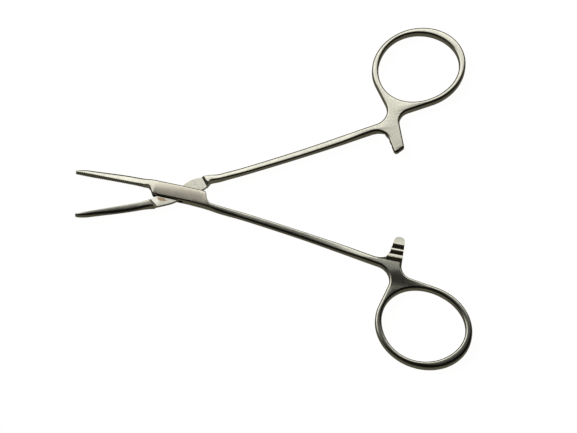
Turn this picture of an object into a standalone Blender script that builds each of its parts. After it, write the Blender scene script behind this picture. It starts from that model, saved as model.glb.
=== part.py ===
"""Straight mosquito forceps with a box lock, lying open on a table.

Three pieces: the female half, whose slotted box forms the outside of the lock, the male half,
whose thin tongue runs through that box, and the rivet that both halves turn on.

Frame: the origin is on the rivet axis in the plane that the box stands on, +X points to the
finger rings, the jaws point to -X and +Z is up.  Sizes are in millimetres and are turned to
metres where meshes are made.  Each half is drawn in its own plan (x, o), where o grows outward
from the middle line to that half's finger ring, and is then mirrored and turned about the rivet.
"""

import math

import bmesh
import bpy
import numpy as np
from mathutils import Matrix

MM = 0.001

# Pose in the photograph: each half stands this far from the middle line.
HALF_OPENING = 11.4

# Heights.  The lock is the thickest place and everything is centred on its middle plane.
LOCK_THICKNESS = 3.3
MID_Z = LOCK_THICKNESS / 2
TONGUE_THICKNESS = 1.3
SLOT_CLEARANCE = 0.1
ARM_THICKNESS = 2.3
RING_THICKNESS = 2.8

# Rivet.
RIVET_RADIUS = 1.1
RIVET_FIT = 0.03
RIVET_EDGE = 0.12
RIVET_SEGMENTS = 48

# Jaws.  The gripping faces are flat, parallel to the middle line and cut with cross grooves.
JAW_LENGTH = 32.0
LOCK_FRONT = 11.0
TIP_X = -JAW_LENGTH
JAW_RUN = JAW_LENGTH - LOCK_FRONT
GRIP_O = -0.56
FEMALE_JAW_SHIFT = 0.33
MALE_JAW_SHIFT = -0.11
TOOTH_PITCH = 0.57
TOOTH_DEPTH = 0.17
TIP_LAND = 0.55
LOCK_LAND = 0.35
TOOTH_RUN = JAW_RUN - TIP_LAND - LOCK_LAND
# Outer side of a jaw: share of the way from tip to lock, o, thickness, rounding of the edges.
JAW_OUTER = (
    (0.000, -0.88, 1.50, 0.10),
    (0.014, -1.12, 1.85, 0.35),
    (0.060, -1.50, 2.20, 0.60),
    (0.130, -1.80, 2.36, 0.75),
    (0.270, -2.08, 2.34, 0.84),
    (0.410, -2.32, 2.25, 0.88),
    (0.550, -2.55, 2.20, 0.90),
    (0.690, -2.70, 2.20, 0.90),
    (0.840, -2.76, 2.30, 0.85),
    (1.000, -2.68, 2.60, 0.70),
)
GRIP_EDGE = 0.12

# Lock and arms.  A row is one slanted cross section of the forging, from its edge on the low-o
# side to its edge on the high-o side: ax, ao, bx, bo, thickness, rounding at a, rounding at b.
FEMALE_LOCK = (
    (-10.2, -2.38, -10.1, -0.20, 2.75, 0.60, 0.25),
    (-9.55, -2.40, -9.25, 0.20, 2.95, 0.45, 0.30),
    (-8.95, -2.40, -8.70, 1.00, 3.12, 0.35, 0.30),
    (-8.30, -2.40, -8.30, 1.65, 3.25, 0.28, 0.25),
    (-7.60, -2.38, -7.90, 2.12, 3.30, 0.25, 0.22),
    (-6.50, -2.34, -6.60, 2.26, 3.30, 0.22, 0.30),
    (-3.00, -2.26, -3.00, 2.38, 3.30, 0.22, 0.38),
    (0.00, -2.18, 0.00, 2.50, 3.30, 0.22, 0.44),
    (3.00, -2.06, 3.00, 2.60, 3.30, 0.22, 0.48),
    (5.80, -1.94, 5.20, 2.78, 3.30, 0.22, 0.50),
    (7.00, -1.78, 6.30, 2.86, 3.30, 0.22, 0.50),
    (7.35, -1.20, 7.10, 2.92, 3.30, 0.22, 0.50),
    (7.65, -0.35, 7.75, 3.00, 3.28, 0.25, 0.50),
    (8.00, 0.45, 8.35, 3.08, 3.22, 0.30, 0.50),
    (8.50, 1.15, 9.00, 3.18, 3.10, 0.36, 0.50),
    (9.20, 1.60, 9.65, 3.30, 2.95, 0.42, 0.50),
)
MALE_LOCK = (
    (-10.0, -2.82, -10.0, -0.55, 2.80, 0.60, 0.25),
    (-9.00, -2.84, -9.30, -0.20, 3.05, 0.45, 0.30),
    (-8.00, -2.82, -8.15, 0.15, 3.25, 0.30, 0.28),
    (-6.00, -2.74, -6.00, 0.65, 3.30, 0.22, 0.22),
    (-3.60, -2.56, -3.00, 1.25, 3.30, 0.22, 0.22),
    (-1.80, -2.18, -1.00, 1.70, 3.30, 0.22, 0.22),
    (0.00, -1.70, 0.60, 2.15, 3.30, 0.22, 0.22),
    (2.00, -1.20, 1.80, 2.75, 3.30, 0.22, 0.22),
    (3.50, -0.75, 3.00, 3.30, 3.30, 0.22, 0.22),
    (5.00, -0.30, 4.30, 3.68, 3.30, 0.22, 0.22),
    (7.00, 0.15, 6.30, 3.80, 3.30, 0.22, 0.25),
    (8.10, 0.80, 7.70, 3.84, 3.26, 0.28, 0.32),
    (8.85, 1.50, 8.70, 3.88, 3.15, 0.36, 0.40),
    (9.60, 1.90, 9.60, 3.92, 2.98, 0.42, 0.46),
)
# The rings.  Reach and spread of a ring's middle from the rivet, along and across the middle line.
RING_REACH = 78.1
RING_SPREAD = 27.29
LOCK_REAR = 9.8
STUB_X = RING_REACH - 21.6
# The arm: share of the way from lock to fork, middle, width, thickness, rounding.
ARM = (
    (0.05, 2.90, 1.94, 2.75, 0.50),
    (0.115, 3.16, 1.95, 2.55, 0.54),
    (0.22, 3.64, 2.02, 2.40, 0.55),
    (0.435, 4.93, 2.13, ARM_THICKNESS, 0.55),
    (0.65, 6.36, 2.24, ARM_THICKNESS, 0.55),
    (0.86, 7.90, 2.42, ARM_THICKNESS + 0.10, 0.56),
    (1.01, 9.05, 2.60, RING_THICKNESS + 0.06, 0.60),
    (1.085, 9.65, 2.20, RING_THICKNESS - 0.25, 0.58),
    (1.13, 10.0, 1.60, RING_THICKNESS - 0.70, 0.50),
)
ARM_STEPS = 4

# Finger ring: an oval rim and, a little nearer to the lock, an oval hole that is slightly egg-shaped.
RIM_LONG = 14.58
RIM_SHORT = 12.8
HOLE_LONG = 12.53
HOLE_SHORT = 11.05
HOLE_SHIFT = (-0.29, -0.26)
HOLE_EGG = -0.0175
RING_TURN = 17.3
RING_SEGMENTS = 60
PLATE_EDGE = 0.72
PLATE_EDGE_STEPS = 1

# Fork between arm, ring and ratchet bar.
STUB_O = 9.0
STUB_WIDTH = 2.3
STUB_RISE = 0.165
RING_SIDE_LEAN = -0.235
RING_FOOT_RISE = 0.16
CROTCH_RADIUS = 5.0
PALM_RADIUS = 4.0
BAR_ROOT_RADIUS = 3.8
FILLET_POINTS = 9

# Ratchet bar and its three saw teeth.
BAR_LEFT = ((STUB_X + 7.25, 8.0), (STUB_X + 8.25, 0.7))
BAR_RIGHT = ((STUB_X + 11.8, 10.2), (STUB_X + 11.3, 1.0))
FEMALE_BAR_END_O = 0.45
FEMALE_BAR_END_RADIUS = 1.45
MALE_BAR_END_RADIUS = 0.8
MALE_BAR_END = ((STUB_X + 11.6, 1.65), (STUB_X + 8.4, -0.05), MALE_BAR_END_RADIUS)
RATCHET_TOP_O = 9.9
TOOTH_LAST_O = 7.1
RATCHET_PITCH = 1.87
RATCHET_TEETH = 3
RATCHET_DEPTH = 0.75
RATCHET_FACE_LENGTH = 0.5
RATCHET_GAP = 0.1
RATCHET_REACH = -0.05
RATCHET_CUT_X = (STUB_X + 4.5, STUB_X + 14.0)

# Slot in the female box, in plan as x, y: the tongue passes here at every opening.
SLOT = (
    (-12.0, -0.28),
    (-9.55, 0.16),
    (-6.0, 1.22),
    (-3.2, 1.68),
    (-2.2, 3.2),
    (9.5, 3.2),
    (9.5, 0.60),
    (8.0, 0.12),
    (7.0, -0.22),
    (4.0, -1.05),
    (1.6, -1.65),
    (0.9, -2.6),
    (0.3, -4.6),
    (-12.0, -4.6),
)

# Recess in each face of the male half, on its floor and at the outer face of the lock.
RECESS_FLOOR = (
    (-10.35, 0.75),
    (-8.05, -3.2),
    (0.0, -4.5),
    (8.55, -2.0),
    (8.1, -0.3),
    (6.9, 4.1),
    (0.0, 4.5),
)
RECESS_MOUTH = (
    (-10.85, 0.75),
    (-8.55, -3.2),
    (0.0, -4.6),
    (10.4, -2.0),
    (10.4, -0.3),
    (7.55, 4.1),
    (0.0, 4.6),
)
CUT_OVER = 0.6


def clear_scene():
    """Remove the objects that Blender starts with."""
    for obj in list(bpy.data.objects):
        bpy.data.objects.remove(obj, do_unlink=True)


def new_collection(name):
    """Make a collection under the scene."""
    made = bpy.data.collections.new(name)
    bpy.context.scene.collection.children.link(made)
    return made


def steel(name, colour, roughness):
    """A Principled steel."""
    made = bpy.data.materials.new(name)
    made.use_nodes = True
    shader = made.node_tree.nodes["Principled BSDF"]
    shader.inputs["Base Color"].default_value = (*colour, 1.0)
    shader.inputs["Roughness"].default_value = roughness
    shader.inputs["Metallic"].default_value = 1.0
    return made


def blend(table, x):
    """Smooth curve through the rows of a table, read at x (cubic Hermite, slopes from neighbours)."""
    rows = np.array(table, float)
    keys = rows[:, 0]
    slopes = np.gradient(rows[:, 1:], keys, axis=0)
    i = int(np.clip(np.searchsorted(keys, x) - 1, 0, len(keys) - 2))
    gap = keys[i + 1] - keys[i]
    t = (x - keys[i]) / gap
    h00 = 2 * t**3 - 3 * t**2 + 1
    h10 = t**3 - 2 * t**2 + t
    h01 = 3 * t**2 - 2 * t**3
    h11 = t**3 - t**2
    low, high = rows[i, 1:], rows[i + 1, 1:]
    return h00 * low + h10 * gap * slopes[i] + h01 * high + h11 * gap * slopes[i + 1]


def section(ax, ao, bx, bo, thickness, round_a, round_b):
    """Rounded rectangle that stands between the edge points a and b: 12 points (x, o, z)."""
    length = math.hypot(bx - ax, bo - ao)
    half = thickness / 2
    ra = min(round_a, 0.96 * half, 0.48 * length)
    rb = min(round_b, 0.96 * half, 0.48 * length)
    points = []
    for centre, height, radius, start in (
        (ra, -half + ra, ra, 180.0),
        (length - rb, -half + rb, rb, 270.0),
        (length - rb, half - rb, rb, 0.0),
        (ra, half - ra, ra, 90.0),
    ):
        for step in range(3):
            angle = math.radians(start + 45.0 * step)
            along = (centre + radius * math.cos(angle)) / length
            z = MID_Z + height + radius * math.sin(angle)
            points.append((ax + (bx - ax) * along, ao + (bo - ao) * along, z))
    return points


def jaw_sections(shift):
    """Sections from the tip to the end of the teeth, with a groove between each two crests."""
    made = []
    stations = [(TIP_X, GRIP_O - 0.06), (TIP_X + 0.25, GRIP_O)]
    for step in range(2 * int(TOOTH_RUN / TOOTH_PITCH) + 1):
        x = TIP_X + TIP_LAND + step * TOOTH_PITCH / 2
        stations.append((x, GRIP_O - TOOTH_DEPTH * (step % 2)))
    for x, grip in stations:
        outer, thickness, rounding = blend(JAW_OUTER, (x - TIP_X) / JAW_RUN)
        a, b = outer + shift, grip + shift
        made.append(section(x, a, x, b, thickness, rounding, GRIP_EDGE))
    return made


def forging_sections(lock, shift):
    """All sections of one half from the jaw tip through the lock to the end of the arm."""
    made = jaw_sections(shift)
    rows = [list(row) for row in lock]
    for share, middle, width, thickness, rounding in ARM:
        x = LOCK_REAR + share * (STUB_X - LOCK_REAR)
        rows.append([x, middle - width / 2, x, middle + width / 2, thickness, rounding, rounding])
    keyed = [[float(i), *row] for i, row in enumerate(rows)]
    steps = [2 if i < len(lock) else ARM_STEPS for i in range(len(rows) - 1)]
    for i, count in enumerate(steps):
        for step in range(count):
            made.append(section(*blend(keyed, i + step / count)))
    made.append(section(*rows[-1]))
    return made


def loft(name, sections):
    """Closed solid over a run of sections with equal point counts."""
    count = len(sections[0])
    vertices = [tuple(c * MM for c in point) for ring in sections for point in ring]
    faces = []
    for i in range(len(sections) - 1):
        for j in range(count):
            k = (j + 1) % count
            faces.append((i * count + j, i * count + k, (i + 1) * count + k, (i + 1) * count + j))
    last = (len(sections) - 1) * count
    faces.append(tuple(reversed(range(count))))
    faces.append(tuple(last + j for j in range(count)))
    mesh = bpy.data.meshes.new(name)
    mesh.from_pydata(vertices, [], faces)
    fix_normals(mesh)
    return mesh


def fix_normals(mesh):
    """Weld the mesh and turn its faces outward."""
    work = bmesh.new()
    work.from_mesh(mesh)
    bmesh.ops.remove_doubles(work, verts=work.verts, dist=1e-6)
    bmesh.ops.recalc_face_normals(work, faces=work.faces)
    work.to_mesh(mesh)
    work.free()


def fillet(before, corner, after, radius):
    """Arc of the given radius between the two lines that meet at a corner."""
    p, c, n = (np.array(v, float) for v in (before, corner, after))
    u = (p - c) / np.linalg.norm(p - c)
    v = (n - c) / np.linalg.norm(n - c)
    half = math.acos(float(np.clip(u @ v, -1, 1))) / 2
    middle = c + (u + v) / np.linalg.norm(u + v) * radius / math.sin(half)
    first = c + u * radius / math.tan(half) - middle
    last = c + v * radius / math.tan(half) - middle
    a0 = math.atan2(first[1], first[0])
    turn = (math.atan2(last[1], last[0]) - a0 + math.pi) % (2 * math.pi) - math.pi
    angles = a0 + turn * np.linspace(0, 1, FILLET_POINTS)
    return [(middle[0] + radius * math.cos(a), middle[1] + radius * math.sin(a)) for a in angles]


def crossing(p, d, q, e):
    """Point where the line from p along d meets the line from q along e."""
    (px, py), (dx, dy), (qx, qy), (ex, ey) = p, d, q, e
    t = ((qx - px) * ey - (qy - py) * ex) / (dx * ey - dy * ex)
    return px + t * dx, py + t * dy


def at_height(line, o):
    """Point where the line through two points reaches the height o in plan."""
    (x0, o0), (x1, o1) = line
    return x0 + (x1 - x0) * (o - o0) / (o1 - o0), o


def oval(long, short, t):
    """Point of the rim's oval at the angle t."""
    turn = math.radians(RING_TURN)
    u, v = long * math.cos(t), short * math.sin(t)
    x = RING_REACH + u * math.cos(turn) - v * math.sin(turn)
    return x, RING_SPREAD + u * math.sin(turn) + v * math.cos(turn)


def hole_point(t):
    """Point of the finger hole's edge at the angle t."""
    egg = 1.0 + HOLE_EGG * math.sin(3 * t)
    x, o = oval(HOLE_LONG * egg, HOLE_SHORT * egg, t)
    return x + HOLE_SHIFT[0], o + HOLE_SHIFT[1]


def oval_angle(long, short, direction):
    """Angle at which the oval, followed clockwise, runs in the given direction."""
    turn = math.radians(RING_TURN)
    dx, dy = direction
    u = dx * math.cos(turn) + dy * math.sin(turn)
    v = -dx * math.sin(turn) + dy * math.cos(turn)
    return math.atan2(u / long, -v / short)


def plate_outline(bar_end):
    """Outline of fork, ring and ratchet bar, clockwise from the outer side of the arm."""
    long, short = RIM_LONG, RIM_SHORT
    stub_outer = (STUB_X, STUB_O + STUB_WIDTH / 2)
    stub_inner = (STUB_X, STUB_O - STUB_WIDTH / 2)
    along = (1.0, STUB_RISE)
    side = (RING_SIDE_LEAN, 1.0)
    foot = (-1.0, -RING_FOOT_RISE)
    t1 = oval_angle(long, short, side)
    t2 = oval_angle(long, short, foot)
    on_side = oval(long, short, t1)
    on_foot = oval(long, short, t2)
    left = (BAR_LEFT[1][0] - BAR_LEFT[0][0], BAR_LEFT[1][1] - BAR_LEFT[0][1])
    right = (BAR_RIGHT[1][0] - BAR_RIGHT[0][0], BAR_RIGHT[1][1] - BAR_RIGHT[0][1])
    crotch = crossing(stub_outer, along, on_side, side)
    palm = crossing(on_foot, foot, BAR_RIGHT[0], right)
    root = crossing(stub_inner, along, BAR_LEFT[0], left)
    end_right, end_left, radius = bar_end
    points = [stub_outer]
    points += fillet(stub_outer, crotch, on_side, CROTCH_RADIUS)
    span = (t1 - t2) % (2 * math.pi)
    count = int(RING_SEGMENTS * span / (2 * math.pi))
    points += [oval(long, short, t1 - span * i / count) for i in range(count + 1)]
    points += fillet(on_foot, palm, end_right, PALM_RADIUS)
    points += fillet(palm, end_right, end_left, radius)
    points += fillet(end_right, end_left, root, radius)
    points += fillet(end_left, root, stub_inner, BAR_ROOT_RADIUS)
    points.append(stub_inner)
    return points


def flat_plate(name, outline):
    """Solid of even thickness over the outline, with the finger hole and rounded edges."""
    curve = bpy.data.curves.new(name, "CURVE")
    curve.dimensions = "2D"
    curve.fill_mode = "BOTH"
    curve.extrude = (RING_THICKNESS / 2 - PLATE_EDGE) * MM
    curve.bevel_depth = PLATE_EDGE * MM
    curve.bevel_resolution = PLATE_EDGE_STEPS
    step = 2 * math.pi / RING_SEGMENTS
    hole = [hole_point(step * i) for i in range(RING_SEGMENTS)]
    for loop, outside in ((outline, True), (hole, False)):
        inner = inset(loop, PLATE_EDGE if outside else -PLATE_EDGE)
        spline = curve.splines.new("POLY")
        spline.points.add(len(inner) - 1)
        for point, (x, o) in zip(spline.points, inner):
            point.co = (x * MM, o * MM, 0.0, 1.0)
        spline.use_cyclic_u = True
    obj = bpy.data.objects.new(name, curve)
    bpy.context.scene.collection.objects.link(obj)
    graph = bpy.context.evaluated_depsgraph_get()
    mesh = bpy.data.meshes.new_from_object(obj.evaluated_get(graph))
    bpy.data.objects.remove(obj, do_unlink=True)
    bpy.data.curves.remove(curve)
    mesh.transform(Matrix.Translation((0.0, 0.0, MID_Z * MM)))
    fix_normals(mesh)
    return mesh


def inset(loop, distance):
    """Loop moved inward by a distance, corner by corner along the mean of its edge normals."""
    points = np.array(loop, float)
    area = np.sum(points[:, 0] * np.roll(points[:, 1], -1) - points[:, 1] * np.roll(points[:, 0], -1))
    edges = np.roll(points, -1, axis=0) - points
    normals = np.stack([-edges[:, 1], edges[:, 0]], axis=1) * (1.0 if area > 0 else -1.0)
    normals /= np.linalg.norm(normals, axis=1)[:, None]
    before = np.roll(normals, 1, axis=0)
    both = before + normals
    both /= 1.0 + np.sum(before * normals, axis=1)[:, None]
    return [tuple(p) for p in points + both * distance]


def prism(name, low, high, z_low, z_high):
    """Solid between two outlines with equal point counts at two heights."""
    sections = [[(x, y, z_low) for x, y in low], [(x, y, z_high) for x, y in high]]
    return loft(name, sections)


def saw_outline():
    """Outline (o, z) of what is cut away above the saw teeth of the bar whose teeth point up."""
    top = MID_Z + RING_THICKNESS / 2
    over = top + CUT_OVER
    crest = MID_Z - RATCHET_GAP / 2
    floor = crest - RATCHET_DEPTH
    ramp_foot = TOOTH_LAST_O + RATCHET_FACE_LENGTH
    ramp_top = ramp_foot + (RATCHET_TOP_O - ramp_foot) * (over - floor) / (top - floor)
    points = [(ramp_top, over)]
    for tooth in range(RATCHET_TEETH):
        crest_o = TOOTH_LAST_O - tooth * RATCHET_PITCH
        points.append((crest_o + RATCHET_FACE_LENGTH, floor))
        points.append((crest_o, crest))
    points.append((RATCHET_REACH, floor))
    points.append((RATCHET_REACH - CUT_OVER, floor))
    points.append((RATCHET_REACH - CUT_OVER, over))
    return points


def saw_cutter(name, upward):
    """Solid that takes the other bar's half of the thickness and leaves the saw teeth."""
    points = saw_outline()
    if not upward:
        points = [(o, 2 * MID_Z - z) for o, z in points]
    return loft(name, [[(x, o, z) for o, z in points] for x in RATCHET_CUT_X])


def cylinder(name, radius, z_low, z_high, edge=0.0):
    """Round bar on the rivet axis, with a small edge chamfer."""
    work = bmesh.new()
    made = bmesh.ops.create_cone(
        work,
        cap_ends=True,
        segments=RIVET_SEGMENTS,
        radius1=radius * MM,
        radius2=radius * MM,
        depth=(z_high - z_low) * MM,
    )
    bmesh.ops.translate(work, verts=made["verts"], vec=(0.0, 0.0, (z_high + z_low) / 2 * MM))
    if edge:
        rims = [e for e in work.edges if abs(e.verts[0].co.z - e.verts[1].co.z) < 1e-9]
        bmesh.ops.bevel(work, geom=rims, offset=edge * MM, segments=1, affect="EDGES")
    mesh = bpy.data.meshes.new(name)
    work.to_mesh(mesh)
    work.free()
    return mesh


def place(mesh, side):
    """Take a mesh from a half's plan to the pose in the photograph; side is -1 or 1."""
    turn = Matrix.Rotation(math.radians(side * HALF_OPENING), 4, "Z")
    mesh.transform(turn @ Matrix.Diagonal((1.0, float(side), 1.0, 1.0)))
    if side < 0:
        mesh.flip_normals()
    return mesh


def add_object(name, mesh, collection, material=None):
    """Link a mesh as an object; without a material it is a hidden tool body."""
    obj = bpy.data.objects.new(name, mesh)
    collection.objects.link(obj)
    if material is None:
        obj.hide_render = True
        obj.display_type = "WIRE"
    else:
        mesh.materials.clear()
        mesh.materials.append(material)
    return obj


def boolean(obj, tool, operation):
    """Join or cut with an exact Boolean modifier."""
    made = obj.modifiers.new(f"{operation.lower()} {tool.name}", "BOOLEAN")
    made.operation = operation
    made.solver = "EXACT"
    made.object = tool


def build_half(name, side, lock, shift, bar_end, upward, collection, tools, material):
    """One half: forging, fork and ring joined, then bored and given its ratchet teeth."""
    forging = place(loft(f"{name} forging", forging_sections(lock, shift)), side)
    half = add_object(name, forging, collection, material)
    plate = flat_plate(f"{name} ring plate", plate_outline(bar_end))
    boolean(half, add_object(f"{name} ring plate", place(plate, side), tools), "UNION")
    saw = saw_cutter(f"{name} ratchet cutter", upward)
    boolean(half, add_object(f"{name} ratchet cutter", place(saw, side), tools), "DIFFERENCE")
    return half


def main():
    """Build the three pieces."""
    clear_scene()
    parts = new_collection("mosquito_forceps")
    tools = new_collection("Tool bodies")
    satin = steel("Satin stainless steel", (0.60, 0.59, 0.55), 0.32)
    rivet_steel = steel("Ground rivet steel", (0.62, 0.61, 0.58), 0.28)

    female_end = (
        at_height(BAR_RIGHT, FEMALE_BAR_END_O),
        at_height(BAR_LEFT, FEMALE_BAR_END_O),
        FEMALE_BAR_END_RADIUS,
    )
    female = build_half(
        "female_half", -1, FEMALE_LOCK, FEMALE_JAW_SHIFT, female_end, True, parts, tools, satin
    )
    male = build_half(
        "male_half", 1, MALE_LOCK, MALE_JAW_SHIFT, MALE_BAR_END, False, parts, tools, satin
    )

    # The slot leaves two plates with the tongue and its running clearance between them.
    slot_half = TONGUE_THICKNESS / 2 + SLOT_CLEARANCE
    outline = [(x, -y) for x, y in SLOT]
    slot = prism("Slot", outline, outline, MID_Z - slot_half, MID_Z + slot_half)
    boolean(female, add_object("Box slot cutter", place(slot, -1), tools), "DIFFERENCE")

    # A recess with sloped shoulders in both faces of the male half leaves the tongue.
    floor = MID_Z + TONGUE_THICKNESS / 2
    face = LOCK_THICKNESS
    for label, low, high in (("upper", floor, face), ("lower", 2 * MID_Z - floor, 0.0)):
        reach = (high - low) * (1.0 + CUT_OVER / (face - floor))
        grow = reach / (high - low)
        mouth = [
            (fx + (mx - fx) * grow, fy + (my - fy) * grow)
            for (fx, fy), (mx, my) in zip(RECESS_FLOOR, RECESS_MOUTH)
        ]
        recess = prism(f"Recess {label}", RECESS_FLOOR, mouth, low, low + reach)
        tool = add_object(f"Male {label} recess cutter", place(recess, 1), tools)
        boolean(male, tool, "DIFFERENCE")

    # One bore through all layers of the lock and the rivet in it, ground flush.
    bore_radius = RIVET_RADIUS + RIVET_FIT
    bore = cylinder("Bore", bore_radius, -CUT_OVER, LOCK_THICKNESS + CUT_OVER)
    bore_tool = add_object("Rivet bore cutter", bore, tools)
    boolean(female, bore_tool, "DIFFERENCE")
    boolean(male, bore_tool, "DIFFERENCE")
    rivet_mesh = cylinder("rivet", RIVET_RADIUS, 0.0, LOCK_THICKNESS, RIVET_EDGE)
    add_object("rivet", rivet_mesh, parts, rivet_steel)


main()
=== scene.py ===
"""Looks of the straight mosquito forceps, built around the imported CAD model.

The forceps are two stainless forgings and the rivet that they turn on.  The sections below follow
them as they are put together: the half with the box, the half whose tongue passes through the
box, the rivet, then the white table, the studio light and the camera.  Every piece is worked out
in millimetres in its own plan (x, o), where o grows outward from the middle line between the
halves, and is turned into the place that the CAD model gives it.
"""

import math

import bmesh
import bpy
import numpy as np
from mathutils import Matrix
from mathutils.geometry import tessellate_polygon


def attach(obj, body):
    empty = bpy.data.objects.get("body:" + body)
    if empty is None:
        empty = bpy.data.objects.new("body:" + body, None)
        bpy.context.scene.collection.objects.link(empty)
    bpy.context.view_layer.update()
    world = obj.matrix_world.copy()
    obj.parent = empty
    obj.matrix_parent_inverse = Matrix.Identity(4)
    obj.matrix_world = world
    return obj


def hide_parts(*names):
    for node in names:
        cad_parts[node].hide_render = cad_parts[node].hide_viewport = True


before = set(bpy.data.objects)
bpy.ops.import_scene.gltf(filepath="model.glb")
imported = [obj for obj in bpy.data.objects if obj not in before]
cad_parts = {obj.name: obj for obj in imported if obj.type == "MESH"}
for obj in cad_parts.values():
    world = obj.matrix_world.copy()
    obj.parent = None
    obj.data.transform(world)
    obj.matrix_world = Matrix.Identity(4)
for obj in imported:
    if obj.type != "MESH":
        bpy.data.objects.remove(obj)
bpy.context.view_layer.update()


# The half with the box.  One drop forging of stainless steel: upper jaw, the slotted box that
# forms the outside of the lock, the slim shank, the fork and the finger ring.  It is ground to
# shape, its gripping face is cut with cross grooves, and it is given a satin finish.

MM = 0.001
HALF_OPENING = 11.4
LOCK_THICKNESS = 3.3
MID_Z = LOCK_THICKNESS / 2
RING_THICKNESS = 2.8

# The cross grooves.  CREST_HALF is half the width of a tooth's crest as a share of the pitch.
GRIP_O = -0.56
TOOTH_PITCH = 0.57
TOOTH_DEPTH = 0.17
CREST_HALF = 0.13
FIRST_TOOTH_X = -31.45
TOOTH_COUNT = 35
TIP_X = (-32.00, -31.94, -31.84, -31.70)

# A row is one cross section: its two edges (ax, ao) and (bx, bo) in plan, the thickness, the
# rounding at each edge, the crown, which is the share of the height that the face falls by, and
# the place across the face from which it falls.
JAW = (
    (-32.00, -0.90, -32.00, -0.62, 1.40, 0.08, 0.05, 0.00, 0.5),
    (-31.80, -1.10, -31.80, -0.56, 1.80, 0.30, 0.08, 0.02, 0.5),
    (-31.20, -1.36, -31.20, -0.56, 2.06, 0.50, 0.10, 0.04, 0.5),
    (-30.74, -1.50, -30.74, -0.56, 2.20, 0.60, 0.10, 0.05, 0.5),
    (-29.27, -1.80, -29.27, -0.56, 2.36, 0.66, 0.12, 0.08, 1.0),
    (-26.33, -2.08, -26.33, -0.56, 2.34, 0.72, 0.12, 0.18, 1.0),
    (-23.39, -2.32, -23.39, -0.56, 2.15, 0.74, 0.12, 0.24, 1.0),
    (-20.45, -2.55, -20.45, -0.56, 2.02, 0.74, 0.12, 0.28, 1.0),
    (-17.51, -2.70, -17.51, -0.56, 1.98, 0.74, 0.12, 0.28, 1.0),
    (-14.36, -2.76, -14.36, -0.56, 2.05, 0.72, 0.14, 0.26, 1.0),
    (-12.60, -2.73, -12.60, -0.56, 2.25, 0.78, 0.16, 0.18, 1.0),
    (-11.00, -2.68, -11.00, -0.55, 2.60, 0.70, 0.20, 0.14, 1.0),
)
BOX_JAW_SHIFT = 0.33
BOX = (
    (-10.20, -2.38, -10.10, -0.30, 2.88, 0.60, 0.25, 0.10, 0.80),
    (-9.55, -2.40, -9.30, 0.22, 3.06, 0.60, 0.28, 0.10, 0.60),
    (-8.95, -2.40, -8.75, 1.12, 3.18, 0.60, 0.28, 0.10, 0.48),
    (-8.30, -2.40, -8.30, 1.85, 3.26, 0.62, 0.25, 0.10, 0.42),
    (-7.60, -2.38, -7.90, 2.12, 3.30, 0.65, 0.22, 0.10, 0.38),
    (-6.50, -2.34, -6.60, 2.26, 3.30, 0.65, 0.30, 0.10, 0.34),
    (-3.00, -2.26, -3.00, 2.38, 3.30, 0.65, 0.38, 0.11, 0.25),
    (0.00, -2.18, 0.00, 2.50, 3.30, 0.65, 0.44, 0.12, 0.18),
    (3.00, -2.06, 3.00, 2.60, 3.30, 0.65, 0.48, 0.12, 0.12),
    (5.80, -1.94, 5.20, 2.78, 3.30, 0.65, 0.50, 0.12, 0.10),
    (7.00, -1.78, 6.30, 2.86, 3.30, 0.65, 0.50, 0.12, 0.10),
    (7.35, -1.20, 7.10, 2.92, 3.30, 0.65, 0.50, 0.12, 0.10),
    (7.65, -0.35, 7.75, 3.00, 3.28, 0.65, 0.50, 0.12, 0.12),
    (8.00, 0.45, 8.35, 3.08, 3.22, 0.55, 0.50, 0.12, 0.15),
    (8.50, 1.15, 9.00, 3.18, 3.10, 0.45, 0.50, 0.12, 0.20),
    (9.20, 1.60, 9.65, 3.30, 2.95, 0.45, 0.50, 0.13, 0.20),
)
SHANK = (
    (12.14, 1.90, 12.14, 3.80, 2.70, 0.50, 0.62, 0.16, 0.2),
    (15.17, 2.18, 15.17, 4.14, 2.45, 0.50, 0.62, 0.16, 0.2),
    (20.07, 2.63, 20.07, 4.65, 2.22, 0.50, 0.62, 0.16, 0.2),
    (30.11, 3.86, 30.11, 6.00, 2.12, 0.50, 0.62, 0.16, 0.2),
    (40.16, 5.24, 40.16, 7.48, 2.12, 0.50, 0.62, 0.16, 0.2),
    (49.96, 6.69, 49.96, 9.11, 2.30, 0.60, 0.68, 0.10, 0.2),
    (56.5, 7.85, 56.5, 10.15, 2.80, 0.75, 0.75, 0.00, 0.2),
)
CORNER_STEPS = 6
FACE_STEPS = 5
# The most that the rounding may take of half the thickness, of the width at edge b and of the
# width at both edges together.
ROUND_OF_HALF, ROUND_OF_WIDTH, BOTH_OF_WIDTH = 0.96, 0.46, 0.94


def through_rows(keys, rows, at):
    """Rows of a table read at the places `at`, where row i stands at keys[i].

    Between two rows each column follows a cubic whose slope at a row is that of its two
    neighbours, so that the surface has no kink at a row.
    """
    rows = np.asarray(rows, float)
    slopes = np.gradient(rows, keys, axis=0)
    i = np.clip(np.searchsorted(keys, at, side="right") - 1, 0, len(rows) - 2)
    gap = (keys[i + 1] - keys[i])[:, None]
    t = (at - keys[i])[:, None] / gap
    return (
        (2 * t**3 - 3 * t**2 + 1) * rows[i]
        + (t**3 - 2 * t**2 + t) * gap * slopes[i]
        + (3 * t**2 - 2 * t**3) * rows[i + 1]
        + (t**3 - t**2) * gap * slopes[i + 1]
    )


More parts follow.
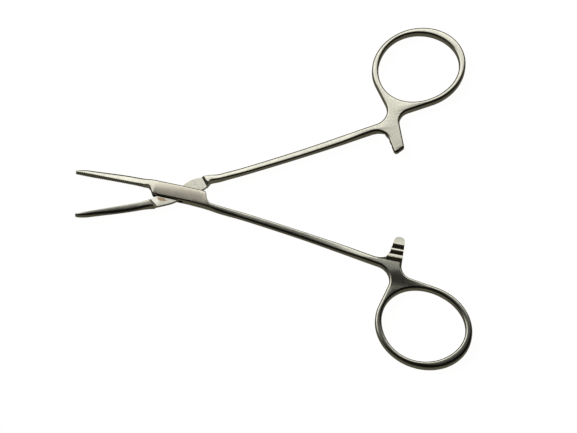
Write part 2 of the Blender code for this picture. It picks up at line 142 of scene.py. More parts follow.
def jaw_stations(rows):
    """Cross sections of a jaw from the tip to the lock, four to a tooth, and each one's groove.

    A tooth has a narrow flat crest and the groove beside it is a V, so the gripping edge steps
    back by the groove's depth at every fourth section.
    """
    places = np.array([-CREST_HALF, CREST_HALF, 0.5, 1 - CREST_HALF])
    teeth = FIRST_TOOTH_X + TOOTH_PITCH * (np.arange(TOOTH_COUNT)[:, None] + places)
    last = teeth[-1, -1] + 2 * CREST_HALF * TOOTH_PITCH
    x = np.concatenate([TIP_X, teeth.ravel(), [last]])
    groove = np.tile([0.0, 0.0, TOOTH_DEPTH, 0.0], TOOTH_COUNT)
    groove = np.concatenate([np.zeros(len(TIP_X)), groove, [0.0]])
    return through_rows(rows[:, 0], rows, x), groove


def run_stations(rows, counts):
    """Cross sections from row to row of a table, counts[i] of them after row i, and the last."""
    at = np.concatenate([i + np.arange(n) / n for i, n in enumerate(counts)] + [[len(counts)]])
    return through_rows(np.arange(len(rows), dtype=float), rows, at)


def bar_surface(stations, step_back):
    """Grid of points over the bar from the tip to the fork: (section, place round it, xyz).

    Each section is a rounded rectangle that stands between the edge points a and b.  Going round
    it, a quarter circle at each edge joins the flat faces.  The crown then lowers each point by a
    share of its height that grows with the square of its distance from the top of the face.
    """
    ax, ao, bx, bo, thick, ra, rb, crown, top = (c[:, None] for c in stations.T)
    back = step_back[:, None]
    length = np.hypot(bx - ax, bo - ao)
    half = thick / 2
    rb = np.minimum(rb, np.minimum(ROUND_OF_HALF * half, ROUND_OF_WIDTH * length))
    ra = np.minimum(ra, np.minimum(ROUND_OF_HALF * half, BOTH_OF_WIDTH * length - rb))
    quarter = np.linspace(0, math.pi / 2, CORNER_STEPS + 1)[None, :]
    flat = np.linspace(0, 1, FACE_STEPS + 1)[1:-1][None, :]
    a_along, a_up = ra - ra * np.cos(quarter), half - ra + ra * np.sin(quarter)
    b_along, b_up = length - back - rb + rb * np.sin(quarter), half - rb + rb * np.cos(quarter)
    f_along = ra + (length - rb - ra) * flat
    f_up = half + 0 * f_along
    along = np.concatenate([a_along, f_along, b_along], axis=1)
    up = np.concatenate([a_up, f_up, b_up], axis=1)
    up = up * (1 - crown * ((along / length - top) / np.maximum(top, 1 - top)) ** 2)
    along = np.concatenate([along, along[:, ::-1]], axis=1)
    up = np.concatenate([up, -up[:, ::-1]], axis=1)
    x = ax + (bx - ax) * along / length
    o = ao + (bo - ao) * along / length
    return np.stack([x, o, MID_Z + up], axis=2)


# Fork, ring and ratchet bar lie in one plate of even thickness.
RING_X, RING_O = 78.1, 27.29
RIM_LONG, RIM_SHORT = 14.56, 12.78
HOLE_LONG, HOLE_SHORT = 12.53, 11.05
HOLE_SHIFT, HOLE_EGG = (-0.29, -0.26), -0.0175
RING_TURN = math.radians(17.3)
RING_STEPS = 240
PLATE_EDGE = 0.75
STUB_DIRECTION = (1.0, 0.165)
RING_SIDE = (-0.235, 1.0)
RING_FOOT = (-1.0, -0.16)
CROTCH_RADIUS, PALM_RADIUS, BAR_ROOT_RADIUS = 5.0, 4.0, 3.8
BAR_LEFT = ((63.75, 8.0), (64.75, 0.7))
BAR_RIGHT = ((68.3, 10.2), (67.8, 1.0))
POINT_GAP, FEWEST_ARC_STEPS = 0.3, 6


def crossing(p, d, q, e):
    """Point where the line from p along d meets the line from q along e."""
    (px, py), (dx, dy), (qx, qy), (ex, ey) = p, d, q, e
    t = ((qx - px) * ey - (qy - py) * ex) / (dx * ey - dy * ex)
    return px + t * dx, py + t * dy


def rounded(before, corner, after, radius):
    """Arc of a radius that touches both lines at a corner: centre on their bisector."""
    p, c, n = (np.array(v, float) for v in (before, corner, after))
    u = (p - c) / np.linalg.norm(p - c)
    v = (n - c) / np.linalg.norm(n - c)
    half = math.acos(float(np.clip(u @ v, -1, 1))) / 2
    centre = c + (u + v) / np.linalg.norm(u + v) * radius / math.sin(half)
    first = c + u * radius / math.tan(half) - centre
    last = c + v * radius / math.tan(half) - centre
    start = math.atan2(first[1], first[0])
    turn = (math.atan2(last[1], last[0]) - start + math.pi) % (2 * math.pi) - math.pi
    count = max(FEWEST_ARC_STEPS, int(abs(turn) * radius / POINT_GAP) + 1)
    angle = start + turn * np.linspace(0, 1, count + 1)
    return centre + radius * np.stack([np.cos(angle), np.sin(angle)], axis=1)


def oval(long, short, t):
    """Points at the angles t of an oval with these half lengths round the ring's middle."""
    u, v = long * np.cos(t), short * np.sin(t)
    x = RING_X + u * math.cos(RING_TURN) - v * math.sin(RING_TURN)
    o = RING_O + u * math.sin(RING_TURN) + v * math.cos(RING_TURN)
    return np.stack([x, o], axis=-1)


def oval_angle(long, short, direction):
    """Angle at which the oval, followed clockwise, runs in a direction."""
    dx, dy = direction
    u = dx * math.cos(RING_TURN) + dy * math.sin(RING_TURN)
    v = -dx * math.sin(RING_TURN) + dy * math.cos(RING_TURN)
    return math.atan2(u / long, -v / short)


def fork_outline(stub_a, stub_b, bar_end):
    """Outline of fork, ring and bar in plan, clockwise from the shank's outer edge to its inner.

    Straight lines and the ring's oval, with an arc at each corner, are then walked off in equal
    steps so that the edge profile has evenly spaced places to stand.
    """
    side = oval_angle(RIM_LONG, RIM_SHORT, RING_SIDE)
    foot = oval_angle(RIM_LONG, RIM_SHORT, RING_FOOT)
    on_side, on_foot = (oval(RIM_LONG, RIM_SHORT, t) for t in (side, foot))
    left = np.subtract(BAR_LEFT[1], BAR_LEFT[0])
    right = np.subtract(BAR_RIGHT[1], BAR_RIGHT[0])
    crotch = crossing(stub_b, STUB_DIRECTION, on_side, RING_SIDE)
    palm = crossing(on_foot, RING_FOOT, BAR_RIGHT[0], right)
    root = crossing(stub_a, STUB_DIRECTION, BAR_LEFT[0], left)
    end_right, end_left, end_radius = bar_end
    round_ring = side - (side - foot) % (2 * math.pi) * np.linspace(0, 1, RING_STEPS)
    corners = np.concatenate([
        [stub_b],
        rounded(stub_b, crotch, on_side, CROTCH_RADIUS),
        oval(RIM_LONG, RIM_SHORT, round_ring),
        rounded(on_foot, palm, end_right, PALM_RADIUS),
        rounded(palm, end_right, end_left, end_radius),
        rounded(end_right, end_left, root, end_radius),
        rounded(end_left, root, stub_a, BAR_ROOT_RADIUS),
        [stub_a],
    ])
    walked = np.concatenate([[0], np.cumsum(np.hypot(*np.diff(corners, axis=0).T))])
    steps = np.linspace(0, walked[-1], int(walked[-1] / POINT_GAP) + 1)
    return np.stack([np.interp(steps, walked, corners[:, k]) for k in (0, 1)], axis=1)


def edge_surface(outline, inward, half):
    """Rounded edge carried along an outline: (place along it, place down the edge, xyz).

    The edge is a quarter circle, the upright wall and a second quarter circle.  `inward` is the
    direction in plan in which the plate lies.
    """
    quarter = np.linspace(0, math.pi / 2, CORNER_STEPS + 1)
    depth = PLATE_EDGE * (1 - np.sin(quarter))
    up = half - PLATE_EDGE + PLATE_EDGE * np.cos(quarter)
    depth = np.concatenate([depth, depth[::-1]])
    up = np.concatenate([up, -up[::-1]])
    plan = outline[:, None, :] + inward[:, None, :] * depth[None, :, None]
    height = np.broadcast_to(MID_Z + up[None, :, None], (*plan.shape[:2], 1))
    return np.concatenate([plan, height], axis=2)


def inward_of(outline, closed):
    """Unit vectors to the right of an outline's direction, which is inside it when clockwise."""
    if closed:
        ahead = np.roll(outline, -1, axis=0) - np.roll(outline, 1, axis=0)
    else:
        ahead = np.gradient(outline, axis=0)
    ahead /= np.linalg.norm(ahead, axis=1)[:, None]
    return np.stack([ahead[:, 1], -ahead[:, 0]], axis=1)


def numbered(grid, start=0):
    """Vertex numbers of a grid of points, counted from `start`."""
    return start + np.arange(grid.shape[0] * grid.shape[1]).reshape(grid.shape[:2])


def grid_faces(index, close_columns=False, close_rows=False):
    """Quads between neighbouring rows and columns of a grid of vertex numbers."""
    if close_rows:
        index = np.concatenate([index, index[:1]], axis=0)
    if close_columns:
        index = np.concatenate([index, index[:, :1]], axis=1)
    a, b, c, d = index[:-1, :-1], index[:-1, 1:], index[1:, 1:], index[1:, :-1]
    return np.stack([a, b, c, d], axis=2).reshape(-1, 4)


WELD_DISTANCE = 1e-7


def mesh_of(name, points, faces):
    """A mesh from an array of points in millimetres and a list of faces."""
    mesh = bpy.data.meshes.new(name)
    mesh.from_pydata((points * MM).tolist(), [], faces)
    return mesh


def welded(mesh):
    """A mesh with its doubled points merged and its faces turned outwards."""
    work = bmesh.new()
    work.from_mesh(mesh)
    bmesh.ops.remove_doubles(work, verts=work.verts, dist=WELD_DISTANCE)
    bmesh.ops.recalc_face_normals(work, faces=work.faces)
    work.to_mesh(mesh)
    work.free()
    return mesh


def placed(mesh, side):
    """A mesh taken from a half's plan to its place: mirrored for side -1, turned by the opening."""
    turn = Matrix.Rotation(math.radians(side * HALF_OPENING), 4, "Z")
    mesh.transform(turn @ Matrix.Diagonal((1.0, float(side), 1.0, 1.0)))
    return welded(mesh)


# Cross sections that follow a row: at the jaw's root, in the lock, at its neck and in the shank.
ROOT_COUNT, LOCK_COUNT, NECK_COUNT, SHANK_COUNT = 3, 4, 8, 12


def forging(name, shift, lock, bar_end, side):
    """One half as a closed mesh: the bar's grid, the edges round the plate and its two faces."""
    jaw = np.array(JAW) + shift * np.array([0, 1, 0, 1, 0, 0, 0, 0, 0])
    jaw_rows, grooves = jaw_stations(jaw)
    counts = [ROOT_COUNT] + [LOCK_COUNT] * (len(lock) - 1)
    counts += [NECK_COUNT] + [SHANK_COUNT] * (len(SHANK) - 1)
    stations = run_stations((jaw[-1], *lock, *SHANK), counts)[1:]
    grooves = np.concatenate([grooves, np.zeros(len(stations))])
    bar = bar_surface(np.concatenate([jaw_rows, stations]), grooves)
    bar_index = numbered(bar)

    # Places round the last section: edge a, face, edge b, then the same from b to a below.
    corner, face = CORNER_STEPS + 1, FACE_STEPS - 1
    last = bar_index[-1]
    edge_b = last[corner + face:3 * corner + face]
    edge_a = np.roll(last, corner)[:2 * corner][::-1]
    face_above = last[corner:corner + face]
    face_below = last[3 * corner + face:3 * corner + 2 * face][::-1]

    # The plate's edge starts and ends on that section.
    half = RING_THICKNESS / 2
    outline = fork_outline(SHANK[-1][0:2], SHANK[-1][2:4], bar_end)
    edge = edge_surface(outline, inward_of(outline, False), half)[1:-1]
    edge_index = np.concatenate([[edge_b], numbered(edge, bar_index.size), [edge_a]])

    # The finger hole is walked the other way round, so that its right side is the plate too.
    t = np.linspace(0, 2 * math.pi, RING_STEPS, endpoint=False)
    egg = 1 + HOLE_EGG * np.sin(3 * t)
    hole = oval(HOLE_LONG * egg, HOLE_SHORT * egg, t) + np.array(HOLE_SHIFT)
    hole_edge = edge_surface(hole, inward_of(hole, True), half)
    hole_index = numbered(hole_edge, edge_index.max() + 1)

    points = np.concatenate([grid.reshape(-1, 3) for grid in (bar, edge, hole_edge)])
    quads = np.concatenate([
        grid_faces(bar_index, close_columns=True),
        grid_faces(edge_index),
        grid_faces(hole_index, close_rows=True),
    ])
    faces = quads.tolist() + [bar_index[0].tolist()]
    for column, stub in ((0, face_above), (-1, face_below)):
        loops = [np.concatenate([edge_index[:, column], stub]), hole_index[:, column]]
        plan = [np.column_stack([points[loop, :2], 0 * loop]).tolist() for loop in loops]
        triangles = np.array(tessellate_polygon(plan))
        faces += np.concatenate(loops)[triangles].tolist()
    return placed(mesh_of(name, points, faces), side)


def block(name, near, far, side):
    """Closed block between two outlines with equal point counts, each an array of (x, o, z)."""
    count = len(near)
    ring = np.arange(count)
    walls = np.stack([ring, np.roll(ring, -1), np.roll(ring, -1) + count, ring + count], axis=1)
    faces = walls.tolist() + [ring.tolist(), (ring + count).tolist()]
    return placed(mesh_of(name, np.concatenate([near, far]), faces), side)


def prism(name, low, high, z_low, z_high, side):
    """Closed block between two outlines (x, o) with equal point counts at two heights."""
    near = np.column_stack([low, np.full(len(low), z_low)])
    far = np.column_stack([high, np.full(len(high), z_high)])
    return block(name, near, far, side)


def cut(half, *tools):
    """Take each tool's space out of a half with an exact Boolean."""
    for mesh in tools:
        tool = bpy.data.objects.new(mesh.name, mesh)
        bpy.context.scene.collection.objects.link(tool)
        step = half.modifiers.new("cut", "BOOLEAN")
        step.operation, step.solver, step.object = "DIFFERENCE", "EXACT", tool
        graph = bpy.context.evaluated_depsgraph_get()
        remainder = bpy.data.meshes.new_from_object(half.evaluated_get(graph))
        half.modifiers.remove(step)
        half.data = remainder
        bpy.data.objects.remove(tool, do_unlink=True)


# The saw teeth of the ratchet bar: three steps of 2 mm, steep towards the half's own ring,
# with a sloped ground face above them.  OVERSHOOT is how far a cutter stands out of the steel.
# The two bars pass each other with RATCHET_GAP between their crests.
RATCHET_TOP_O, LAST_TOOTH_O, RATCHET_END_O = 9.1, 6.85, -0.65
RATCHET_X = (61.0, 70.5)
RATCHET_TEETH, RATCHET_PITCH, RATCHET_DEPTH, RATCHET_FACE = 3, 2.0, 0.75, 0.25
RATCHET_LAND, LAND_SLOPE = 0.6, 0.035
RATCHET_GAP = 0.1
OVERSHOOT = 0.6


def ratchet_cutter(upward, side):
    """Block above the saw teeth: its lower side runs down a slope and then tooth by tooth.

    A tooth is three points: the floor before it, its crest, and the end of the land behind the
    crest, which falls off slowly.  After the last crest the land runs out to the bar's end.
    """
    top = MID_Z + RING_THICKNESS / 2
    over = top + OVERSHOOT
    crest = MID_Z - RATCHET_GAP / 2
    floor = crest - RATCHET_DEPTH
    foot = LAST_TOOTH_O + RATCHET_FACE
    start = foot + (RATCHET_TOP_O - foot) * (over - floor) / (top - floor)
    crests = LAST_TOOTH_O - RATCHET_PITCH * np.arange(RATCHET_TEETH)[:, None]
    teeth_o = (crests + np.array([RATCHET_FACE, 0.0, -RATCHET_LAND])).ravel()[:-1]
    tooth_z = [floor, crest, crest - LAND_SLOPE * RATCHET_LAND]
    end = crest - LAND_SLOPE * (crests[-1, 0] - RATCHET_END_O)
    o = np.concatenate([[start], teeth_o, [RATCHET_END_O, RATCHET_END_O]])
    z = np.concatenate([[over], np.tile(tooth_z, RATCHET_TEETH)[:-1], [end, over]])
    if not upward:
        z = 2 * MID_Z - z
    near, far = (np.column_stack([np.full(len(o), x), o, z]) for x in RATCHET_X)
    return block("ratchet cutter", near, far, side)


RIVET_RADIUS, RIVET_FIT = 1.1, 0.01
PIN_SEGMENTS = 96
TONGUE_THICKNESS, SLOT_CLEARANCE = 1.3, 0.1
# The slot that the tongue passes through, in plan as x, y.
SLOT = np.array((
    (-12.0, -0.28), (-9.55, 0.16), (-6.0, 1.22), (-3.2, 1.68), (-2.2, 3.2), (9.5, 3.2),
    (9.5, 0.60), (8.0, 0.12), (7.0, -0.22), (4.0, -1.05), (1.6, -1.65), (0.9, -2.6),
    (0.3, -4.6), (-12.0, -4.6),
))


def bore():
    """Round bore on the rivet's axis through the whole lock."""
    t = np.linspace(0, 2 * math.pi, PIN_SEGMENTS, endpoint=False)
    rim = (RIVET_RADIUS + RIVET_FIT) * np.stack([np.cos(t), np.sin(t)], axis=1)
    return prism("bore", rim, rim, -OVERSHOOT, LOCK_THICKNESS + OVERSHOOT, 1)


# The finish.  These build the materials' nodes, each from plain values or other nodes' outputs.


def put(tree, value, socket):
    """Link another node's output to a socket, or set a plain value on it."""
    if isinstance(value, bpy.types.NodeSocket):
        tree.links.new(value, socket)
    else:
        socket.default_value = value


def worked(tree, operation, *values):
    """Result of a Math node over these values."""
    step = tree.nodes.new("ShaderNodeMath")
    step.operation = operation
    for value, socket in zip(values, step.inputs):
        put(tree, value, socket)
    return step.outputs["Value"]


def vector_worked(tree, operation, result, *values):
    """The result of this name, Vector or Value, of a Vector Math node over these values."""
    step = tree.nodes.new("ShaderNodeVectorMath")
    step.operation = operation
    for value, socket in zip(values, step.inputs):
        put(tree, value, socket)
    return step.outputs[result]


def ranged(tree, value, start, end, low=0.0, high=1.0, kind="LINEAR"):
    """A value that goes from low to high while the given one goes from start to end."""
    step = tree.nodes.new("ShaderNodeMapRange")
    step.interpolation_type = kind
    put(tree, value, step.inputs["Value"])
    put(tree, start, step.inputs["From Min"])
    put(tree, end, step.inputs["From Max"])
    put(tree, low, step.inputs["To Min"])
    put(tree, high, step.inputs["To Max"])
    return step.outputs["Result"]


def blended(tree, kind, share, below, above):
    """Two numbers (FLOAT) or colours (RGBA), with the given share of the second."""
    mix = tree.nodes.new("ShaderNodeMix")
    mix.data_type = kind
    put(tree, share, mix.inputs["Factor"])
    put(tree, below, mix.inputs["A"])
    put(tree, above, mix.inputs["B"])
    return mix.outputs["Result"]


def noise(tree, vector, scale, detail, roughness):
    """Value of a noise texture."""
    texture = tree.nodes.new("ShaderNodeTexNoise")
    put(tree, vector, texture.inputs["Vector"])
    put(tree, scale, texture.inputs["Scale"])
    put(tree, detail, texture.inputs["Detail"])
    put(tree, roughness, texture.inputs["Roughness"])
    return texture.outputs["Fac"]


def colour_ramp(tree, value, stops, kind="LINEAR"):
    """Colour at a value between these stops, each a place from 0 to 1 and a colour."""
    ramp = tree.nodes.new("ShaderNodeValToRGB")
    ramp.color_ramp.interpolation = kind
    elements = ramp.color_ramp.elements
    for element, (place, colour) in zip(elements, (stops[0], stops[-1])):
        element.position, element.color = place, (*colour, 1.0)
    for place, colour in stops[1:-1]:
        elements.new(place).color = (*colour, 1.0)
    tree.links.new(value, ramp.inputs["Fac"])
    return ramp.outputs["Color"]


def grey(level):
    """A colour of equal parts."""
    return (level, level, level)


def new_group(name, vectors, numbers, results):
    """An empty node group with vector inputs, number inputs with their values, and outputs."""
    group = bpy.data.node_groups.new(name, "ShaderNodeTree")
    face = group.interface
    for title in vectors:
        face.new_socket(title, in_out="INPUT", socket_type="NodeSocketVector")
    for title, value in numbers:
        socket = face.new_socket(title, in_out="INPUT", socket_type="NodeSocketFloat")
        socket.default_value = value
    for title in results:
        face.new_socket(title, in_out="OUTPUT", socket_type="NodeSocketFloat")
    entry, leave = group.nodes.new("NodeGroupInput"), group.nodes.new("NodeGroupOutput")
    return group, entry.outputs, leave.inputs


LINE_STRETCH = (0.04, 1.0, 1.0)
SPECKLE_IN_TONE = 0.6


def satin_grain_group():
    """Node group of the satin finish: a fine speckle, long grinding lines and broad cloudiness.

    Height mixes the speckle and the lines.  Tone mixes the clouds and the speckle, and Polish is
    the clouds alone.
    """
    group, entry, leave = new_group(
        "Satin grain", ["Vector"],
        [("Speckle scale", 2000.0), ("Line scale", 3800.0), ("Line share", 0.5)],
        ["Height", "Tone", "Polish"],
    )
    drawn_out = vector_worked(group, "MULTIPLY", "Vector", entry["Vector"], LINE_STRETCH)
    speckle = noise(group, entry["Vector"], entry["Speckle scale"], detail=3.0, roughness=0.65)
    lines = noise(group, drawn_out, entry["Line scale"], detail=2.0, roughness=0.5)
    clouds = noise(group, entry["Vector"], scale=160.0, detail=4.0, roughness=0.6)
    put(group, blended(group, "FLOAT", entry["Line share"], speckle, lines), leave["Height"])
    put(group, blended(group, "FLOAT", SPECKLE_IN_TONE, clouds, speckle), leave["Tone"])
    put(group, clouds, leave["Polish"])
    return group


SPOT_RIM = 1.2


def soft_spot_group():
    """Node group of an oval mask with a ragged, soft rim: 1 in its middle and 0 outside.

    The distance from the oval's middle, which is 1 on the oval, is shifted by a noise.  The mask
    falls from 1 to 0 over the stretch of width Softness that ends at SPOT_RIM.
    """
    group, entry, leave = new_group(
        "Soft spot", ["Vector", "Place", "Turn", "Size"],
        [("Raggedness", 0.8), ("Softness", 0.5)], ["Mask"],
    )
    oval_space = group.nodes.new("ShaderNodeMapping")
    oval_space.vector_type = "TEXTURE"
    put(group, entry["Vector"], oval_space.inputs["Vector"])
    put(group, entry["Place"], oval_space.inputs["Location"])
    put(group, entry["Turn"], oval_space.inputs["Rotation"])
    put(group, entry["Size"], oval_space.inputs["Scale"])
    distance = vector_worked(group, "LENGTH", "Value", oval_space.outputs["Vector"])
    rag = noise(group, entry["Vector"], scale=1400.0, detail=3.0, roughness=0.5)
    shift = worked(group, "SUBTRACT", rag, 0.5)
    ragged = worked(group, "MULTIPLY_ADD", shift, entry["Raggedness"], distance)
    inner = worked(group, "SUBTRACT", SPOT_RIM, entry["Softness"])
    mask = ranged(group, ragged, inner, SPOT_RIM, low=1.0, high=0.0, kind="SMOOTHSTEP")
    put(group, mask, leave["Mask"])
    return group


SATIN_GRAIN = satin_grain_group()
SOFT_SPOT = soft_spot_group()
SATIN_TONE = (0.60, 0.592, 0.510)
SATIN_SHADES = ((0.30, 0.72), (0.70, 1.26))
CLOUD_RANGE, SATIN_POLISH = (0.3, 0.7), (0.13, 0.20)
GRAIN_DEPTH = 0.003 * MM


def satin_steel(name, grain_turn, line_share):
    """Satin stainless steel whose grinding lines run at `grain_turn` degrees from the X axis.

    The grain's Tone runs through the shades of the steel's tone, its Polish through the two
    roughnesses, and its Height is the bump.
    """
    made = bpy.data.materials.new(name)
    made.use_nodes = True
    tree = made.node_tree
    steel = tree.nodes["Principled BSDF"]
    steel.inputs["Metallic"].default_value = 1.0
    turned = tree.nodes.new("ShaderNodeMapping")
    turned.inputs["Rotation"].default_value = (0.0, 0.0, -math.radians(grain_turn))
    put(tree, tree.nodes.new("ShaderNodeTexCoord").outputs["Object"], turned.inputs["Vector"])
    grain = tree.nodes.new("ShaderNodeGroup")
    grain.node_tree = SATIN_GRAIN
    grain.inputs["Line share"].default_value = line_share
    put(tree, turned.outputs["Vector"], grain.inputs["Vector"])
    shades = [(place, [share * c for c in SATIN_TONE]) for place, share in SATIN_SHADES]
    tone = colour_ramp(tree, grain.outputs["Tone"], shades)
    tree.links.new(tone, steel.inputs["Base Color"])
    rough = ranged(tree, grain.outputs["Polish"], *CLOUD_RANGE, *SATIN_POLISH)
    tree.links.new(rough, steel.inputs["Roughness"])
    bump = tree.nodes.new("ShaderNodeBump")
    bump.inputs["Distance"].default_value = GRAIN_DEPTH
    bump.inputs["Strength"].default_value = 1.0
    tree.links.new(grain.outputs["Height"], bump.inputs["Height"])
    tree.links.new(bump.outputs["Normal"], steel.inputs["Normal"])
    return made


def object_place(tree):
    """Output of a steel's own Object coordinates."""
    return next(node for node in tree.nodes if node.type == "TEX_COORD").outputs["Object"]


def coloured_over(made, mask, colour):
    """Lay a colour over the steel's own where the mask is 1."""
    tree = made.node_tree
    steel = tree.nodes["Principled BSDF"]
    below = steel.inputs["Base Color"].links[0].from_socket
    over = blended(tree, "RGBA", mask, below, (*colour, 1.0))
    tree.links.new(over, steel.inputs["Base Color"])


def tinted(made, colour, share, place, turn, size, raggedness, softness):
    """Lay a share of a colour over a steel inside an oval patch, in millimetres and degrees."""
    tree = made.node_tree
    spot = tree.nodes.new("ShaderNodeGroup")
    spot.node_tree = SOFT_SPOT
    put(tree, object_place(tree), spot.inputs["Vector"])
    spot.inputs["Place"].default_value = [MM * v for v in place]
    spot.inputs["Turn"].default_value = (0.0, 0.0, math.radians(turn))
    spot.inputs["Size"].default_value = [MM * v for v in size]
    spot.inputs["Raggedness"].default_value = raggedness
    spot.inputs["Softness"].default_value = softness
    coloured_over(made, worked(tree, "MULTIPLY", spot.outputs["Mask"], share), colour)


# The painted shade in a groove: the shares of the pitch from its middle where it is full and where
# it ends, the two x between which it stops, how far it fades out behind the groove's bottom, and
# its share and colour.
SHADE_FULL, SHADE_END = 0.20, 0.36
SHADE_LAST_X, SHADE_STOP_X = -11.8, -11.5
SHADE_FADE, SHADE_SHARE = 0.08, 0.85
GROOVE_SHADE = (0.08, 0.07, 0.055)


def paint_groove_shade(made, side, shift):
    """Darken the cross grooves of the gripping face with painted shade.

    Along the jaw, a saw tooth of the position gives each groove's middle the value one half.
    """
    tree = made.node_tree
    plan = tree.nodes.new("ShaderNodeMapping")
    plan.inputs["Rotation"].default_value = (0.0, 0.0, math.radians(-side * HALF_OPENING))
    plan.inputs["Scale"].default_value = (1 / MM, 1 / MM, 1 / MM)
    put(tree, object_place(tree), plan.inputs["Vector"])
    axes = tree.nodes.new("ShaderNodeSeparateXYZ")
    put(tree, plan.outputs["Vector"], axes.inputs["Vector"])
    along = axes.outputs["X"]
    outward = worked(tree, "MULTIPLY", axes.outputs["Y"], float(side))
    from_first = worked(tree, "SUBTRACT", along, FIRST_TOOTH_X)
    saw = worked(tree, "FRACT", worked(tree, "MULTIPLY", from_first, 1 / TOOTH_PITCH))
    off_groove = worked(tree, "ABSOLUTE", worked(tree, "SUBTRACT", saw, 0.5))
    bottom = GRIP_O + shift - TOOTH_DEPTH
    in_groove = ranged(tree, off_groove, SHADE_END, SHADE_FULL, kind="SMOOTHSTEP")
    on_jaw = ranged(tree, along, SHADE_STOP_X, SHADE_LAST_X, kind="SMOOTHSTEP")
    on_grip = ranged(tree, outward, bottom - SHADE_FADE, bottom, kind="SMOOTHSTEP")
    mask = worked(tree, "MULTIPLY", worked(tree, "MULTIPLY", in_groove, on_jaw), on_grip)
    # The mask paints shade into the grooves.
    coloured_over(made, worked(tree, "MULTIPLY", mask, SHADE_SHARE), GROOVE_SHADE)


def dished(made, profile, height):
    """Let a ground face swell and sink across the forceps with a broad bump.

    `profile` lists places along Y, in millimetres, and the share of the height there, with an
    eased slope between them.
    """
    tree = made.node_tree
    axes = tree.nodes.new("ShaderNodeSeparateXYZ")
    put(tree, object_place(tree), axes.inputs["Vector"])
    first, last = profile[0][0], profile[-1][0]
    across = ranged(tree, axes.outputs["Y"], MM * first, MM * last)
    stops = [((y - first) / (last - first), grey(share)) for y, share in profile]
    broad = tree.nodes.new("ShaderNodeBump")
    broad.inputs["Distance"].default_value = MM * height
    broad.inputs["Strength"].default_value = 1.0
    put(tree, colour_ramp(tree, across, stops, "EASE"), broad.inputs["Height"])
    grain = tree.nodes["Principled BSDF"].inputs["Normal"].links[0].from_node
    put(tree, broad.outputs["Normal"], grain.inputs["Normal"])


SHARP_ANGLE = math.radians(32)


def in_scene(name, mesh, material):
    """A piece of one material, added to the scene."""
    piece = bpy.data.objects.new(name, mesh)
    bpy.context.scene.collection.objects.link(piece)
    mesh.materials.append(material)
    return piece


def shaded(piece):
    """Smooth shading that breaks at cut edges, with flat faces holding their own normal."""
    piece.data.shade_smooth()
    piece.data.set_sharp_from_angle(angle=SHARP_ANGLE)
    weighted = piece.modifiers.new("weighted normals", "WEIGHTED_NORMAL")
    weighted.keep_sharp = True
    weighted.mode = "FACE_AREA"


# The box has a brownish tint, which the rivet's ends share.
BOX_TINT = dict(
    colour=(0.60, 0.555, 0.465), share=0.7, place=(0.5, -0.4, 2.6), turn=-12.0,
    size=(11.0, 4.0, 3.0), raggedness=0.5, softness=0.6,
)
FORK_SWELL, SWELL_HEIGHT = ((-30.0, 0.1), (-24.5, 1.0), (-13.0, 0.0)), 0.45
FEMALE_BAR_END = ((67.770, 0.45), (64.784, 0.45), 1.45)
female_steel = satin_steel("Satin steel of the box half", grain_turn=-20.0, line_share=0.5)
tinted(female_steel, **BOX_TINT)
dished(female_steel, FORK_SWELL, SWELL_HEIGHT)
# Painted shade in the jaw's cross grooves.
paint_groove_shade(female_steel, -1, BOX_JAW_SHIFT)
female_half = in_scene(
    "box_half", forging("box half", BOX_JAW_SHIFT, BOX, FEMALE_BAR_END, -1), female_steel,
)
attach(female_half, "female_body")
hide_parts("female_half")
slot_half = TONGUE_THICKNESS / 2 + SLOT_CLEARANCE
slot_plan = SLOT * (1, -1)
cut(
    female_half,
    ratchet_cutter(True, -1),
    prism("slot", slot_plan, slot_plan, MID_Z - slot_half, MID_Z + slot_half, -1),
    bore(),
)
shaded(female_half)


# The half with the tongue.  The same kind of forging; at the lock a recess with sloped
# shoulders is milled into both of its faces, and the 1.3 mm tongue that is left runs through
# the box and turns in it on the rivet.

TONGUE_JAW_SHIFT = -0.11
TONGUE_LOCK = (
    (-10.00, -2.82, -10.00, -0.55, 2.80, 0.60, 0.25, 0.13, 1.0),
    (-9.00, -2.84, -9.30, -0.20, 3.05, 0.45, 0.30, 0.10, 1.0),
    (-8.00, -2.82, -8.15, 0.15, 3.25, 0.30, 0.28, 0.05, 0.9),
    (-6.00, -2.74, -6.00, 0.65, 3.30, 0.22, 0.22, 0.0, 0.5),
    (-3.60, -2.56, -3.00, 1.25, 3.30, 0.22, 0.22, 0.0, 0.5),
    (-1.80, -2.18, -1.00, 1.70, 3.30, 0.22, 0.22, 0.0, 0.5),
    (0.00, -1.70, 0.60, 2.15, 3.30, 0.22, 0.22, 0.0, 0.5),
    (2.00, -1.20, 1.80, 2.75, 3.30, 0.22, 0.22, 0.0, 0.5),
    (3.50, -0.75, 3.00, 3.30, 3.30, 0.22, 0.22, 0.0, 0.5),
    (5.00, -0.30, 4.30, 3.68, 3.30, 0.22, 0.22, 0.0, 0.5),
    (7.00, 0.15, 6.30, 3.80, 3.30, 0.22, 0.25, 0.0, 0.5),
    (8.10, 0.80, 7.70, 3.84, 3.26, 0.28, 0.32, 0.04, 0.3),
    (8.85, 1.50, 8.70, 3.88, 3.15, 0.36, 0.40, 0.06, 0.3),
    (9.60, 1.90, 9.60, 3.92, 2.98, 0.42, 0.46, 0.06, 0.3),
)
MALE_BAR_END = ((68.10, 1.65), (64.90, -0.05), 0.8)
RECESS_FLOOR = np.array((
    (-10.35, 0.75), (-8.05, -3.2), (0.0, -4.5), (8.55, -2.0), (8.08, -0.3), (6.9, 4.1), (0.0, 4.5),
))
RECESS_MOUTH = np.array((
    (-10.85, 0.75), (-8.55, -3.2), (0.0, -4.6), (10.4, -2.0), (10.4, -0.3), (7.55, 4.1), (0.0, 4.6),
))


